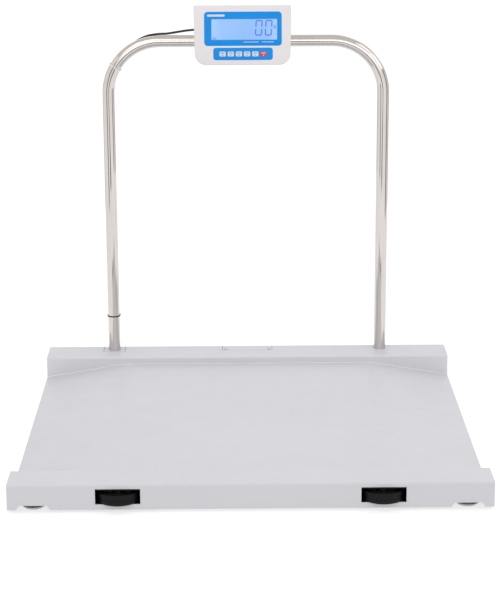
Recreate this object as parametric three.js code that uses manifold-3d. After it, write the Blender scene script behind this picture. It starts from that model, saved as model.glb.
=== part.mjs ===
// Drive-through floor scale for animals: a ramped deck between two guard beams, a bent tube
// handrail on the rear beam and a tilting indicator clamped to the rail's crossbar.
// Millimetres, +Z up. X runs along the drive-through direction, the user stands at -Y.
// The origin is on the floor, under the centre of the whole machine's box.

import * as THREE from 'three';
import { mergeVertices } from 'three/addons/utils/BufferGeometryUtils.js';
import Module from 'manifold-3d';

const wasm = await Module();
wasm.setup();

// Driving dimensions.
const LENGTH = 1100;
const DEPTH = 1070;
const WHEEL_PROUD = 17;
const SHEET = 3;
const GAP = 0.3;
const FIT = 0.35;
const OVERCUT = 1;
const DRILL = 10;

const BEAM_BOTTOM = 6.5;
const BEAM_TOP = 66;
const FRONT_BEAM_DEPTH = 94;
const REAR_BEAM_DEPTH = 105;
const BEND_RADIUS = 4;
const END_PLATE_INSET = 2;
const END_PLATE_LIFT = 0.5;

const DECK_TOP = 46;
const RAMP_TOP = 10.5;
const FLAT_HALF = 340;
const CREASE_HALF = 22;

const WINDOW_X = 300;
const WINDOW_WIDTH = 102;
const WINDOW_LOW = 19;
const WINDOW_HIGH = 55.5;

const WHEEL_RADIUS = 50;
const WHEEL_WIDTH = 25;
const WHEEL_LOW = 19.5;
const BRACKET_LOW = 14;
const BRACKET_HIGH = 55;
const TYRE_INNER = 37;
const AXLE_RADIUS = 6;
const HUB_BOSS = 14;
const HUB_WEB_DEPTH = 7;

const FOOT_X = 493;
const FOOT_INSET = 43;
const FOOT_RADIUS = 27;
const NOTCH_X = 491.5;
const NOTCH_BOTTOM_WIDTH = 77;
const NOTCH_TOP_WIDTH = 62;
const NOTCH_TOP = 17;
const STUD_RADIUS = 6;
const STUD_TOP = 58;
const FOOT_COLLAR = 13;
const FOOT_COLLAR_TOP = 19;

const CELL_LENGTH = 116;
const CELL_WIDTH = 30;
const CELL_LOW = 34;
const CELL_HIGH = 62.7;
const CELL_RELIEF = 3;
const CELL_PAD = 40;
const CELL_WINDOW_HALF = 24;
const CELL_SKIN = 6;

const RIB_WIDTH = 40;
const RIB_HEIGHT = 29;
const RIB_WALL = 2;
const RIB_SPACING = 250;

const POST_SPACING = 737;
const POST_INSET = 26.5;
const RAIL_RADIUS = 16;
const RAIL_WALL = 1.5;
const RAIL_HEIGHT = 922;
const RAIL_BEND = 140;
const RAIL_BOTTOM = 14;
const SOCKET_TOP = 40;
const SOCKET_RADIUS = 22;

const JUNCTION_HALF = 69;
const JUNCTION_LOW = 25;
const COVER_DEPTH = 45.5;
const CABLE_COVER_HALF = 29.5;
const CABLE_COVER_DEPTH = 48.5;
const CABLE_COVER_LOW = 36;
const SCREW_RADIUS = 2;
const SCREW_HEAD_RADIUS = 4.5;
const SCREW_HEAD_HEIGHT = 2.6;

const CABLE_RADIUS = 3;
const TIE_WIDTH = 3;
const TIE_THICKNESS = 1.4;
const TIE_FIT = 0.9;
const POST_TIE_HEIGHT = 164;
const BEND_TIE_ANGLE = 31;

const INDICATOR_X = -8.5;
const INDICATOR_Y = 428;
const INDICATOR_Z = 948.6;
const TILT = 8;
const HOUSING_WIDTH = 256;
const HOUSING_HEIGHT = 155;
const HOUSING_CORNER = 30;
const HOUSING_TOP_CORNER = 4;
const HOUSING_DEPTH = 46;
const HOUSING_TAPER = 2.5;
const HOUSING_SPLIT = 22;
const HOUSING_WALL = 3;
const PANEL_DEPTH = 1.2;
const LCD_THICKNESS = 6;
const LCD_MARGIN = 4;
const BOARD_THICKNESS = 1.6;

const PIVOT_Y = 487;
const PIVOT_Z = 930;
const PIN_RADIUS = 3;
const EAR_RADIUS = 10;
const TONGUE_RADIUS = 8;
const KEY_COUNT = 6;
const KEY_PITCH = 21.4;
const KEY_WIDTH = 16.7;
const KEY_HEIGHT = 13.2;
const KEY_PROUD = 0.8;
const KEY_BACK = 5;

// Places that follow from the driving dimensions.
const HALF = LENGTH / 2;
const FRONT = -(DEPTH + WHEEL_PROUD) / 2 + WHEEL_PROUD;
const BACK = FRONT + DEPTH;
const DECK_FRONT = FRONT + FRONT_BEAM_DEPTH;
const DECK_BACK = BACK - REAR_BEAM_DEPTH;
const POST_X = POST_SPACING / 2;
const POST_Y = BACK - POST_INSET;
const AXLE_Y = FRONT - WHEEL_PROUD + WHEEL_RADIUS;
const CABLE_OFFSET = RAIL_RADIUS + CABLE_RADIUS + 0.9;
const SIDES = [['left', -1], ['right', 1]];
const CORNERS = [
  ['front_left', -1, FRONT + FOOT_INSET],
  ['front_right', 1, FRONT + FOOT_INSET],
  ['rear_left', -1, BACK - FOOT_INSET],
  ['rear_right', 1, BACK - FOOT_INSET],
];

const FINISHES = {
  enamel: { color: 0xd7d7db, roughness: 0.45, metalness: 0 },
  chrome: { color: 0xc9c7c4, roughness: 0.15, metalness: 1 },
  zinc: { color: 0xa9abae, roughness: 0.35, metalness: 1 },
  aluminium: { color: 0xbfc1c4, roughness: 0.4, metalness: 1 },
  blackSteel: { color: 0x151517, roughness: 0.6, metalness: 0 },
  rubber: { color: 0x222226, roughness: 0.7, metalness: 0 },
  darkPlastic: { color: 0x1c1c20, roughness: 0.5, metalness: 0 },
  housing: { color: 0xe2dedf, roughness: 0.5, metalness: 0 },
  panelBlue: { color: 0x1d87dd, roughness: 0.35, metalness: 0 },
  display: { color: 0xa1ccf9, roughness: 0.2, metalness: 0 },
  keyWhite: { color: 0xe6e6ef, roughness: 0.5, metalness: 0 },
  keyRed: { color: 0xe15a64, roughness: 0.5, metalness: 0 },
  board: { color: 0x1f6b3a, roughness: 0.5, metalness: 0 },
  battery: { color: 0x3a3f4a, roughness: 0.5, metalness: 0 },
  clearTie: { color: 0xe9e9e6, roughness: 0.4, metalness: 0 },
};

function addMesh(group, name, geometry, finish) {
  const mesh = new THREE.Mesh(geometry, new THREE.MeshStandardMaterial(FINISHES[finish]));
  mesh.name = name;
  group.add(mesh);
  return mesh;
}

// Solid modelling helpers.
function solidOf(geometry) {
  const bare = geometry.clone();
  bare.deleteAttribute('normal');
  bare.deleteAttribute('uv');
  const merged = mergeVertices(bare, 1e-4);
  const vertProperties = new Float32Array(merged.attributes.position.array);
  const triVerts = new Uint32Array(merged.index.array);
  return new wasm.Manifold(new wasm.Mesh({ numProp: 3, vertProperties, triVerts }));
}

function geometryOf(solid) {
  const mesh = solid.getMesh();
  const geometry = new THREE.BufferGeometry();
  geometry.setAttribute('position', new THREE.BufferAttribute(new Float32Array(mesh.vertProperties), 3));
  geometry.setIndex(new THREE.BufferAttribute(new Uint32Array(mesh.triVerts), 1));
  return geometry;
}

function cut(base, ...tools) {
  return geometryOf(tools.reduce((solid, tool) => solid.subtract(solidOf(tool)), solidOf(base)));
}

function join(base, ...others) {
  return geometryOf(others.reduce((solid, other) => solid.add(solidOf(other)), solidOf(base)));
}

function common(base, other) {
  return geometryOf(solidOf(base).intersect(solidOf(other)));
}

function block(x0, x1, y0, y1, z0, z1) {
  const geometry = new THREE.BoxGeometry(x1 - x0, y1 - y0, z1 - z0);
  return geometry.translate((x0 + x1) / 2, (y0 + y1) / 2, (z0 + z1) / 2);
}

// A prism along X of an outline drawn in (Y, Z).
function prismX(shape, x0, x1, curveSegments = 3) {
  const geometry = new THREE.ExtrudeGeometry(shape, { depth: x1 - x0, bevelEnabled: false, curveSegments });
  const basis = new THREE.Matrix4().makeBasis(
    new THREE.Vector3(0, 1, 0),
    new THREE.Vector3(0, 0, 1),
    new THREE.Vector3(1, 0, 0),
  );
  return geometry.applyMatrix4(basis).translate(x0, 0, 0);
}

// A prism along Y of an outline drawn in (X, Z).
function prismY(shape, y0, y1, curveSegments = 3) {
  const geometry = new THREE.ExtrudeGeometry(shape, { depth: y1 - y0, bevelEnabled: false, curveSegments });
  return geometry.rotateX(Math.PI / 2).translate(0, y1, 0);
}

function prismZ(shape, z0, z1, curveSegments = 3) {
  const geometry = new THREE.ExtrudeGeometry(shape, { depth: z1 - z0, bevelEnabled: false, curveSegments });
  return geometry.translate(0, 0, z0);
}

function rodX(radius, x0, x1, y, z, sides = 16) {
  const geometry = new THREE.CylinderGeometry(radius, radius, x1 - x0, sides).rotateZ(-Math.PI / 2);
  return geometry.translate((x0 + x1) / 2, y, z);
}

function rodY(radius, y0, y1, x, z, sides = 20) {
  return new THREE.CylinderGeometry(radius, radius, y1 - y0, sides).translate(x, (y0 + y1) / 2, z);
}

function rodZ(radius, z0, z1, x, y, sides = 24) {
  const geometry = new THREE.CylinderGeometry(radius, radius, z1 - z0, sides).rotateX(Math.PI / 2);
  return geometry.translate(x, y, (z0 + z1) / 2);
}

// A body turned about a vertical axis, from [radius, height] pairs that start and end on the axis.
function turned(profile, x, y, sides = 32) {
  const points = profile.map(([radius, height]) => new THREE.Vector2(radius, height));
  return new THREE.LatheGeometry(points, sides).rotateX(Math.PI / 2).translate(x, y, 0);
}

function polygon(points) {
  return new THREE.Shape(points.map(([a, b]) => new THREE.Vector2(a, b)));
}

function roundedRectangle(a0, a1, b0, b1, radius) {
  const shape = new THREE.Shape();
  shape.moveTo(a0 + radius, b0);
  shape.lineTo(a1 - radius, b0);
  shape.absarc(a1 - radius, b0 + radius, radius, -Math.PI / 2, 0);
  shape.lineTo(a1, b1 - radius);
  shape.absarc(a1 - radius, b1 - radius, radius, 0, Math.PI / 2);
  shape.lineTo(a0 + radius, b1);
  shape.absarc(a0 + radius, b1 - radius, radius, Math.PI / 2, Math.PI);
  shape.lineTo(a0, b0 + radius);
  shape.absarc(a0 + radius, b0 + radius, radius, Math.PI, 1.5 * Math.PI);
  return shape;
}

// A route through hand-placed knots: one ring of the swept section at each knot.
class KnotPath extends THREE.Curve {
  constructor(knots) {
    super();
    this.knots = knots;
  }

  getPoint(t, target = new THREE.Vector3()) {
    const s = t * (this.knots.length - 1);
    const i = Math.min(Math.floor(s), this.knots.length - 2);
    return target.lerpVectors(this.knots[i], this.knots[i + 1], s - i);
  }

  getPointAt(u, target) {
    return this.getPoint(u, target);
  }

  getTangentAt(u, target = new THREE.Vector3()) {
    const last = this.knots.length - 1;
    const i = Math.round(u * last);
    const before = this.knots[Math.max(i, 1)].clone().sub(this.knots[Math.max(i, 1) - 1]).normalize();
    const after = this.knots[Math.min(i, last - 1) + 1].clone().sub(this.knots[Math.min(i, last - 1)]);
    return target.copy(before.add(after.normalize())).normalize();
  }
}

function circleSection(radius, sides, bore = 0) {
  const ring = (r) => Array.from({ length: sides }, (_, i) => {
    const angle = (2 * Math.PI * i) / sides;
    return new THREE.Vector2(r * Math.cos(angle), r * Math.sin(angle));
  });
  const shape = new THREE.Shape(ring(radius));
  if (bore > 0) shape.holes.push(new THREE.Path(ring(bore)));
  return shape;
}

function sweep(knots, section) {
  const extrudePath = new KnotPath(knots);
  return new THREE.ExtrudeGeometry(section, { steps: knots.length - 1, bevelEnabled: false, extrudePath });
}

// Platform: ramped deck, two folded guard beams and the stiffeners under the deck.
function deckPlate() {
  const shape = new THREE.Shape();
  const slope = (DECK_TOP - RAMP_TOP) / (HALF - FLAT_HALF);
  const rampAt = DECK_TOP - slope * CREASE_HALF;
  const outer = FLAT_HALF + CREASE_HALF;
  const inner = FLAT_HALF - CREASE_HALF;
  shape.moveTo(-HALF, RAMP_TOP - SHEET);
  shape.lineTo(-outer, rampAt - SHEET);
  shape.quadraticCurveTo(-FLAT_HALF, DECK_TOP - SHEET, -inner, DECK_TOP - SHEET);
  shape.lineTo(inner, DECK_TOP - SHEET);
  shape.quadraticCurveTo(FLAT_HALF, DECK_TOP - SHEET, outer, rampAt - SHEET);
  shape.lineTo(HALF, RAMP_TOP - SHEET);
  shape.lineTo(HALF, RAMP_TOP);
  shape.lineTo(outer, rampAt);
  shape.quadraticCurveTo(FLAT_HALF, DECK_TOP, inner, DECK_TOP);
  shape.lineTo(-inner, DECK_TOP);
  shape.quadraticCurveTo(-FLAT_HALF, DECK_TOP, -outer, rampAt);
  shape.lineTo(-HALF, RAMP_TOP);
  return prismY(shape, DECK_FRONT + GAP, DECK_BACK - GAP, 8);
}

function channelOutline(y0, y1) {
  const r = BEND_RADIUS;
  const ri = BEND_RADIUS - SHEET;
  const shape = new THREE.Shape();
  shape.moveTo(y0, BEAM_BOTTOM);
  shape.lineTo(y0 + SHEET, BEAM_BOTTOM);
  shape.lineTo(y0 + SHEET, BEAM_TOP - r);
  shape.absarc(y0 + r, BEAM_TOP - r, ri, Math.PI, Math.PI / 2, true);
  shape.lineTo(y1 - r, BEAM_TOP - SHEET);
  shape.absarc(y1 - r, BEAM_TOP - r, ri, Math.PI / 2, 0, true);
  shape.lineTo(y1 - SHEET, BEAM_BOTTOM);
  shape.lineTo(y1, BEAM_BOTTOM);
  shape.lineTo(y1, BEAM_TOP - r);
  shape.absarc(y1 - r, BEAM_TOP - r, r, 0, Math.PI / 2);
  shape.lineTo(y0 + r, BEAM_TOP);
  shape.absarc(y0 + r, BEAM_TOP - r, r, Math.PI / 2, Math.PI);
  return shape;
}

// A folded channel with both ends closed by plates of the same sheet.
function closedChannel(y0, y1) {
  const ends = SIDES.map(([, side]) => {
    const a = side * HALF;
    const b = side * (HALF - SHEET);
    const [x0, x1] = [Math.min(a, b), Math.max(a, b)];
    const [front, back] = [y0 + END_PLATE_INSET, y1 - END_PLATE_INSET];
    return block(x0, x1, front, back, BEAM_BOTTOM + END_PLATE_LIFT, BEAM_TOP - END_PLATE_INSET);
  });
  return join(prismX(channelOutline(y0, y1), -HALF, HALF, 5), ...ends);
}

function frontBeam() {
  const through = [FRONT - OVERCUT, FRONT + SHEET + OVERCUT];
  const windows = SIDES.map(([, side]) => block(
    side * WINDOW_X - WINDOW_WIDTH / 2,
    side * WINDOW_X + WINDOW_WIDTH / 2,
    ...through,
    WINDOW_LOW,
    WINDOW_HIGH,
  ));
  const notches = SIDES.map(([, side]) => prismY(polygon([
    [side * NOTCH_X - NOTCH_BOTTOM_WIDTH / 2 - OVERCUT, BEAM_BOTTOM - OVERCUT],
    [side * NOTCH_X + NOTCH_BOTTOM_WIDTH / 2 + OVERCUT, BEAM_BOTTOM - OVERCUT],
    [side * NOTCH_X + NOTCH_TOP_WIDTH / 2, NOTCH_TOP],
    [side * NOTCH_X - NOTCH_TOP_WIDTH / 2, NOTCH_TOP],
  ]), ...through));
  return cut(closedChannel(FRONT, DECK_FRONT), ...windows, ...notches);
}

function rearBeam() {
  const coverCut = block(
    -JUNCTION_HALF,
    JUNCTION_HALF,
    BACK - COVER_DEPTH,
    BACK + OVERCUT,
    JUNCTION_LOW,
    BEAM_TOP + OVERCUT,
  );
  const cableCut = block(
    -POST_X - CABLE_COVER_HALF,
    -POST_X + CABLE_COVER_HALF,
    BACK - CABLE_COVER_DEPTH,
    BACK + OVERCUT,
    CABLE_COVER_LOW,
    BEAM_TOP + OVERCUT,
  );
  const postHole = rodZ(RAIL_RADIUS + FIT, BEAM_TOP - DRILL, BEAM_TOP + DRILL, POST_X, POST_Y, 32);
  return cut(closedChannel(DECK_BACK, BACK), coverCut, cableCut, postHole);
}

// An access cover folded over the beam's top rear edge.
function foldedCover(x, half, depth, low) {
  const y0 = BACK - depth + GAP;
  const outline = new THREE.Shape();
  outline.moveTo(y0, BEAM_TOP - SHEET);
  outline.lineTo(BACK - SHEET, BEAM_TOP - SHEET);
  outline.lineTo(BACK - SHEET, low);
  outline.lineTo(BACK, low);
  outline.lineTo(BACK, BEAM_TOP - BEND_RADIUS);
  outline.absarc(BACK - BEND_RADIUS, BEAM_TOP - BEND_RADIUS, BEND_RADIUS, 0, Math.PI / 2);
  outline.lineTo(y0, BEAM_TOP);
  return prismX(outline, x - half + GAP, x + half - GAP, 5);
}

// The slotted cover round the left post, which lets the cable down into the beam.
function cableCover() {
  const slotHalf = CABLE_RADIUS + 2 * GAP;
  const hole = rodZ(RAIL_RADIUS + FIT, BEAM_TOP - DRILL, BEAM_TOP + DRILL, -POST_X, POST_Y, 32);
  const cover = foldedCover(-POST_X, CABLE_COVER_HALF, CABLE_COVER_DEPTH, CABLE_COVER_LOW + GAP);
  const slot = block(
    -POST_X - slotHalf,
    -POST_X + slotHalf,
    POST_Y,
    POST_Y + CABLE_OFFSET + slotHalf,
    BEAM_TOP - DRILL,
    BEAM_TOP + DRILL,
  );
  return cut(cover, hole, slot);
}

function panScrew(x, y) {
  const [tip, seat, top] = [BEAM_TOP - 12, BEAM_TOP + GAP, BEAM_TOP + SCREW_HEAD_HEIGHT];
  return turned([
    [0, tip],
    [SCREW_RADIUS, tip],
    [SCREW_RADIUS, seat],
    [SCREW_HEAD_RADIUS, seat],
    [SCREW_HEAD_RADIUS - 0.5, top - 1],
    [SCREW_HEAD_RADIUS - 1.9, top - 0.2],
    [0, top],
  ], x, y, 12);
}

function deckRib(x) {
  const high = DECK_TOP - SHEET - GAP;
  const outline = roundedRectangle(x - RIB_WIDTH / 2, x + RIB_WIDTH / 2, high - RIB_HEIGHT, high, 3);
  outline.holes.push(roundedRectangle(
    x - RIB_WIDTH / 2 + RIB_WALL,
    x + RIB_WIDTH / 2 - RIB_WALL,
    high - RIB_HEIGHT + RIB_WALL,
    high - RIB_WALL,
    1.5,
  ));
  return prismY(outline, DECK_FRONT + GAP, DECK_BACK - GAP, 3);
}

function addPlatform(group) {
  addMesh(group, 'deck_plate', deckPlate(), 'enamel');
  addMesh(group, 'front_beam', frontBeam(), 'enamel');
  addMesh(group, 'rear_beam', rearBeam(), 'enamel');
  const screwX = JUNCTION_HALF - 9;
  const screwY = BACK - COVER_DEPTH + 12;
  const screwHoles = [-screwX, screwX].map(
    (x) => rodZ(SCREW_RADIUS + FIT, BEAM_TOP - DRILL, BEAM_TOP + DRILL, x, screwY, 12),
  );
  const junctionCover = cut(foldedCover(0, JUNCTION_HALF, COVER_DEPTH, JUNCTION_LOW + GAP), ...screwHoles);
  addMesh(group, 'junction_cover', junctionCover, 'enamel');
  addMesh(group, 'cable_cover', cableCover(), 'enamel');
  for (const [name, side] of SIDES) {
    addMesh(group, `cover_screw_${name}`, panScrew(side * screwX, screwY), 'zinc');
  }
  for (const [name, place] of [['left', -1], ['centre', 0], ['right', 1]]) {
    addMesh(group, `deck_rib_${name}`, deckRib(place * RIB_SPACING), 'enamel');
  }
}

// The summing box inside the rear beam, an open tray with its circuit board.
function addJunctionBox(group) {
  const [x, y0, y1, low, high] = [52, BACK - 82, BACK - 12, 20, 50];
  const wall = 2;
  const cableEnd = CABLE_KNOTS.at(-1);
  const tray = cut(
    block(-x, x, y0, y1, low, high),
    block(-x + wall, x - wall, y0 + wall, y1 - wall, low + wall, high + OVERCUT),
    rodX(CABLE_RADIUS + 0.5, -x - OVERCUT, -x + wall + OVERCUT, cableEnd.y, cableEnd.z, 16),
  );
  addMesh(group, 'junction_box', tray, 'darkPlastic');
  const margin = wall + 1;
  const boardLow = low + wall + 2;
  const boardTop = boardLow + BOARD_THICKNESS;
  const board = block(-x + margin, x - margin, y0 + margin, y1 - margin, boardLow, boardTop);
  const terminals = block(-36, 36, y0 + 12, y0 + 22, boardTop - 0.1, boardTop + 9.4);
  addMesh(group, 'junction_board', join(board, terminals), 'board');
}

// Load cells: bending beams bolted under the beam tops, each with a foot in its free end.
function loadCell(side, y) {
  const free = side * (FOOT_X + 17);
  const fixed = free - side * CELL_LENGTH;
  const step = fixed + side * CELL_PAD;
  const outline = polygon([
    [free, CELL_LOW],
    [free, CELL_HIGH - CELL_RELIEF],
    [step, CELL_HIGH - CELL_RELIEF],
    [step, CELL_HIGH],
    [fixed, CELL_HIGH],
    [fixed, CELL_LOW],
  ]);
  const middle = side * (FOOT_X - 44);
  outline.holes.push(roundedRectangle(
    middle - CELL_WINDOW_HALF,
    middle + CELL_WINDOW_HALF,
    CELL_LOW + CELL_SKIN,
    CELL_HIGH - CELL_RELIEF - CELL_SKIN,
    6.5,
  ));
  const solid = prismY(outline, y - CELL_WIDTH / 2, y + CELL_WIDTH / 2, 5);
  return cut(solid, rodZ(STUD_RADIUS + FIT, CELL_LOW - OVERCUT, CELL_HIGH, side * FOOT_X, y, 20));
}

function levellingFoot(side, y) {
  const r = FOOT_RADIUS;
  return turned([
    [0, 0],
    [r - 2, 0],
    [r, 2],
    [r, 5],
    [r - 3, 8.5],
    [r - 9, 11.5],
    [FOOT_COLLAR, 13],
    [FOOT_COLLAR, FOOT_COLLAR_TOP],
    [STUD_RADIUS, FOOT_COLLAR_TOP],
    [STUD_RADIUS, STUD_TOP],
    [0, STUD_TOP],
  ], side * FOOT_X, y, 20);
}

function addSupports(group) {
  for (const [name, side, y] of CORNERS) {
    addMesh(group, `load_cell_${name}`, loadCell(side, y), 'aluminium');
    addMesh(group, `levelling_foot_${name}`, levellingFoot(side, y), 'zinc');
  }
}

// Transport wheels behind the front windows, on upright axles in open-fronted boxes.
function wheelBracket(x) {
  const [low, high] = [BRACKET_LOW, BRACKET_HIGH];
  const [y0, y1] = [FRONT + SHEET + GAP, AXLE_Y + WHEEL_RADIUS + 6];
  const half = WINDOW_WIDTH / 2 + 5;
  const hollow = block(
    x - half + SHEET,
    x + half - SHEET,
    y0 - OVERCUT,
    y1 - SHEET,
    low + SHEET,
    high - SHEET,
  );
  const axleHole = rodZ(AXLE_RADIUS + FIT, low - OVERCUT, high + OVERCUT, x, AXLE_Y, 20);
  return cut(block(x - half, x + half, y0, y1, low, high), hollow, axleHole);
}

function wheelTyre(x) {
  const [low, high] = [WHEEL_LOW, WHEEL_LOW + WHEEL_WIDTH];
  return turned([
    [TYRE_INNER, low + 2],
    [TYRE_INNER + 2, low],
    [WHEEL_RADIUS - 3, low],
    [WHEEL_RADIUS, low + 3],
    [WHEEL_RADIUS, high - 3],
    [WHEEL_RADIUS - 3, high],
    [TYRE_INNER + 2, high],
    [TYRE_INNER, high - 2],
    [TYRE_INNER, low + 2],
  ], x, AXLE_Y, 28);
}

function wheelHub(x) {
  const [low, high] = [WHEEL_LOW, WHEEL_LOW + WHEEL_WIDTH];
  const rim = TYRE_INNER - GAP;
  const bore = AXLE_RADIUS + FIT;
  return turned([
    [bore, low - 1],
    [HUB_BOSS, low - 1],
    [HUB_BOSS, low + HUB_WEB_DEPTH],
    [rim - 4, low + HUB_WEB_DEPTH],
    [rim - 4, low + 1],
    [rim, low + 1],
    [rim, high - 1],
    [rim - 4, high - 1],
    [rim - 4, high - HUB_WEB_DEPTH],
    [HUB_BOSS, high - HUB_WEB_DEPTH],
    [HUB_BOSS, high + 1],
    [bore, high + 1],
    [bore, low - 1],
  ], x, AXLE_Y, 20);
}

function wheelAxle(x) {
  const [low, high, headRadius] = [BRACKET_LOW, BRACKET_HIGH, 9];
  return turned([
    [0, low - 4],
    [headRadius, low - 4],
    [headRadius, low - GAP],
    [AXLE_RADIUS, low - GAP],
    [AXLE_RADIUS, high + 4],
    [AXLE_RADIUS - 1, high + 5],
    [0, high + 5],
  ], x, AXLE_Y, 16);
}

function addWheels(group) {
  for (const [name, side] of SIDES) {
    const x = side * WINDOW_X;
    addMesh(group, `wheel_bracket_${name}`, wheelBracket(x), 'blackSteel');
    addMesh(group, `wheel_axle_${name}`, wheelAxle(x), 'zinc');
    addMesh(group, `wheel_tyre_${name}`, wheelTyre(x), 'rubber');
    addMesh(group, `wheel_hub_${name}`, wheelHub(x), 'darkPlastic');
  }
}

// Handrail: one tube bent to a U, its ends in sockets inside the rear beam.
const BEND_X = POST_X - RAIL_BEND;
const BEND_Z = RAIL_HEIGHT - RAIL_BEND;

// A point beside the left bend: angle 0 at the post, 90 at the crossbar, on a circle round the
// bend's centre.
function bendPoint(degrees, radius = RAIL_BEND, y = POST_Y) {
  const angle = THREE.MathUtils.degToRad(degrees);
  return new THREE.Vector3(-BEND_X - radius * Math.cos(angle), y, BEND_Z + radius * Math.sin(angle));
}

function handrail() {
  const bendSteps = 9;
  const leftBend = Array.from({ length: bendSteps + 1 }, (_, i) => bendPoint((90 * i) / bendSteps));
  const rightBend = leftBend.map((point) => new THREE.Vector3(-point.x, point.y, point.z)).reverse();
  const knots = [
    new THREE.Vector3(-POST_X, POST_Y, RAIL_BOTTOM),
    ...leftBend,
    ...rightBend,
    new THREE.Vector3(POST_X, POST_Y, RAIL_BOTTOM),
  ];
  return sweep(knots, circleSection(RAIL_RADIUS, 16, RAIL_RADIUS - RAIL_WALL));
}

function postSocket(x) {
  const bore = RAIL_RADIUS + FIT;
  return turned([
    [0, BEAM_BOTTOM + 2],
    [SOCKET_RADIUS, BEAM_BOTTOM + 2],
    [SOCKET_RADIUS, SOCKET_TOP],
    [bore, SOCKET_TOP],
    [bore, RAIL_BOTTOM - GAP],
    [0, RAIL_BOTTOM - GAP],
  ], x, POST_Y, 20);
}

function addHandrail(group) {
  addMesh(group, 'handrail', handrail(), 'chrome');
  for (const [name, side] of SIDES) {
    addMesh(group, `post_socket_${name}`, postSocket(side * POST_X), 'zinc');
  }
}

// Cable: down from the indicator, over the crossbar, behind the left bend and post, into the beam.
function cableBesideRail(degrees, turn) {
  const swing = THREE.MathUtils.degToRad(turn);
  const radius = RAIL_BEND + CABLE_OFFSET * Math.cos(swing);
  return bendPoint(degrees, radius, POST_Y + CABLE_OFFSET * Math.sin(swing));
}

// The stretch that stays with the platform, from over the crossbar to the summing box.
const CABLE_OVER = [[-160, 527.5, 948.6], [-178, 526.5, 946], [-196, 525.4, 943.3], [-212, 524.6, 941.2]];
const CABLE_TURNS = [[88, 22], [78, 32], [68, 48], [58, 66], [48, 82], [38, 90], [26, 90], [13, 90], [0, 90]];
const CABLE_DROP = [500, 300, 120];
const CABLE_INSIDE = [[-368.5, 536.3, 64], [-367, 536.2, 57.5], [-362, 535.8, 52], [-353, 535, 48.5],
  [-340, 533.5, 46.5], [-300, 528, 44], [-200, 518, 41], [-110, 514.5, 38.5], [-80, 513.5, 38],
  [-48, 513.5, 38]];
const CABLE_KNOTS = [
  ...CABLE_OVER.map((point) => new THREE.Vector3(...point)),
  ...CABLE_TURNS.map(([degrees, turn]) => cableBesideRail(degrees, turn)),
  ...CABLE_DROP.map((z) => new THREE.Vector3(-POST_X, POST_Y + CABLE_OFFSET, z)),
  ...CABLE_INSIDE.map((point) => new THREE.Vector3(...point)),
];

// The stretch that hangs between the indicator's gland and the crossbar.
const TAIL_KNOTS = [[-100, 489.3, 951.4], [-100.5, 497, 951.8], [-104, 506.5, 952.2], [-111, 515.5, 952.3],
  [-122, 522.5, 952], [-135, 526, 951.2], [-148, 527.3, 949.9], [-159.7, 527.5, 948.65]];

function tailCable() {
  const knots = TAIL_KNOTS.map((point) => new THREE.Vector3(...point));
  return sweep(knots, circleSection(CABLE_RADIUS, 8));
}

// A strap pulled round the rail and the cable behind it.
function tieBand() {
  const loop = (offset) => {
    const big = RAIL_RADIUS + offset;
    const small = CABLE_RADIUS + offset;
    const lean = Math.acos((big - small) / CABLE_OFFSET);
    const points = [];
    for (let i = 0; i <= 20; i += 1) {
      const angle = Math.PI / 2 + lean + ((2 * Math.PI - 2 * lean) * i) / 20;
      points.push([big * Math.cos(angle), big * Math.sin(angle)]);
    }
    for (let i = 0; i <= 6; i += 1) {
      const angle = Math.PI / 2 - lean + (2 * lean * i) / 6;
      points.push([small * Math.cos(angle), CABLE_OFFSET + small * Math.sin(angle)]);
    }
    return polygon(points);
  };
  const band = loop(TIE_FIT + TIE_THICKNESS);
  band.holes.push(loop(TIE_FIT));
  return prismZ(band, -TIE_WIDTH / 2, TIE_WIDTH / 2);
}

function addCable(group) {
  addMesh(group, 'indicator_cable', sweep(CABLE_KNOTS, circleSection(CABLE_RADIUS, 8)), 'rubber');
  const postTie = addMesh(group, 'cable_tie_post', tieBand(), 'darkPlastic');
  postTie.position.set(-POST_X, POST_Y, POST_TIE_HEIGHT);
  const bendTie = addMesh(group, 'cable_tie_bend', tieBand(), 'clearTie');
  bendTie.position.copy(bendPoint(BEND_TIE_ANGLE));
  bendTie.rotation.y = THREE.MathUtils.degToRad(BEND_TIE_ANGLE);
}

// Clamp: two halves round the crossbar, the front one with ears for the tilt pin.
const EAR_INNER = 9.6;
const EAR_OUTER = 15;
const CLAMP_HALF = 15;
const CLAMP_BOLT_Z = 26;
const CLAMP_BOLT_RADIUS = 3;
const CLAMP_BOLT_HEAD = 5;
const CLAMP_TALL = 34;
const CLAMP_FRONT_Y = POST_Y - RAIL_RADIUS - 4;
const CLAMP_REAR_Y = POST_Y + RAIL_RADIUS + 4;

function clampHalf(y0, y1) {
  const outline = roundedRectangle(y0, y1, RAIL_HEIGHT - CLAMP_TALL, RAIL_HEIGHT + CLAMP_TALL, 3);
  const x0 = INDICATOR_X - CLAMP_HALF;
  const x1 = INDICATOR_X + CLAMP_HALF;
  return [
    prismX(outline, x0, x1, 4),
    rodX(RAIL_RADIUS + FIT, x0 - OVERCUT, x1 + OVERCUT, POST_Y, RAIL_HEIGHT, 20),
    ...[-1, 1].map((way) => rodY(
      CLAMP_BOLT_RADIUS + FIT,
      y0 - OVERCUT,
      y1 + OVERCUT,
      INDICATOR_X,
      RAIL_HEIGHT + way * CLAMP_BOLT_Z,
      16,
    )),
  ];
}

function clampEar(x0, x1) {
  const outline = new THREE.Shape();
  outline.moveTo(CLAMP_FRONT_Y + 2, PIVOT_Z - EAR_RADIUS);
  outline.lineTo(CLAMP_FRONT_Y + 2, PIVOT_Z + EAR_RADIUS);
  outline.lineTo(PIVOT_Y, PIVOT_Z + EAR_RADIUS);
  outline.absarc(PIVOT_Y, PIVOT_Z, EAR_RADIUS, Math.PI / 2, 1.5 * Math.PI);
  return prismX(outline, x0, x1, 10);
}

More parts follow.
